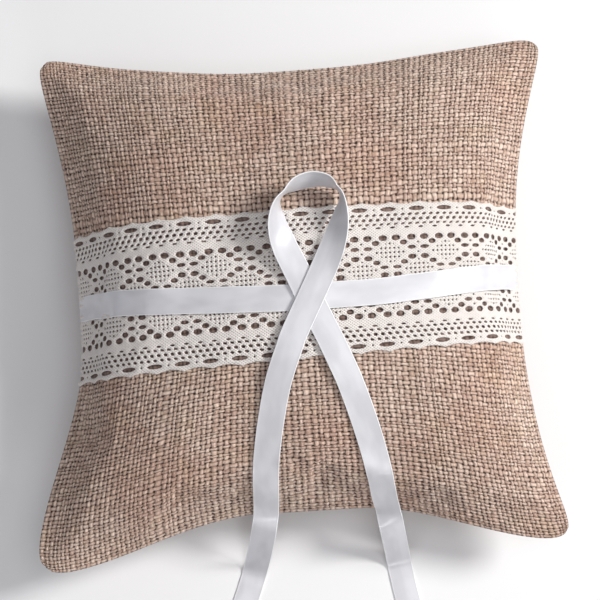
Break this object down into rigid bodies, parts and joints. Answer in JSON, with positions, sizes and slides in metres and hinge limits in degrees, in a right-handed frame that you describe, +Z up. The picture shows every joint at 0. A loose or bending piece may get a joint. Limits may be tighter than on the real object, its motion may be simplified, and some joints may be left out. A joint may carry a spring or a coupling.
{
  "type": "ring bearer pillow",
  "caption": "Stuffed square burlap cushion with a lace band, a satin band and a satin ribbon folded into a loop with two loose tails for tying rings.",
  "frame": {"origin": "middle of the flat patch that the cushion rests on", "axes": "+Z up out of the cushion's face, +X to the right and -Y towards the edge that the ribbon tails hang over"},
  "size_m": [0.2018, 0.2505, 0.0741],
  "materials": {
    "burlap": "plain-weave natural jute burlap",
    "lining": "plain cotton lining",
    "fibre": "loose polyester fibre",
    "tan_thread": "spun polyester sewing thread",
    "white_thread": "spun cotton sewing thread",
    "lace": "matt cotton bobbin lace",
    "satin": "smooth woven-edge satin ribbon with a soft sheen"
  },
  "bodies": {
    "cushion": {"front_panel": "burlap", "back_panel": "burlap", "inner_cover_top": "lining", "inner_cover_bottom": "lining", "fibre_fill": "fibre", "seam_stitches": "tan_thread", "closing_stitches": "tan_thread", "lace_band": "lace", "lace_stitches": "white_thread", "satin_band": "satin", "crossing_over": "satin", "crossing_under": "satin", "tack_stitch": "white_thread"},
    "loop": {"ribbon_loop": "satin"},
    "tail_left": {"left_tail": "satin"},
    "tail_right": {"right_tail": "satin"}
  },
  "joints": [
    {"name": "loop_lift", "type": "hinge", "parent": "cushion", "child": "loop", "pos_m": [0.0048, 0.0075, 0.0668], "axis": [1, 0, 0], "range_deg": [0, 70]},
    {"name": "left_tail_lift", "type": "hinge", "parent": "cushion", "child": "tail_left", "pos_m": [-0.0018, -0.0175, 0.0664], "axis": [-1, 0, 0], "range_deg": [0, 80]},
    {"name": "right_tail_lift", "type": "hinge", "parent": "cushion", "child": "tail_right", "pos_m": [0.0102, -0.0175, 0.0656], "axis": [-1, 0, 0], "range_deg": [0, 80]}
  ]
}
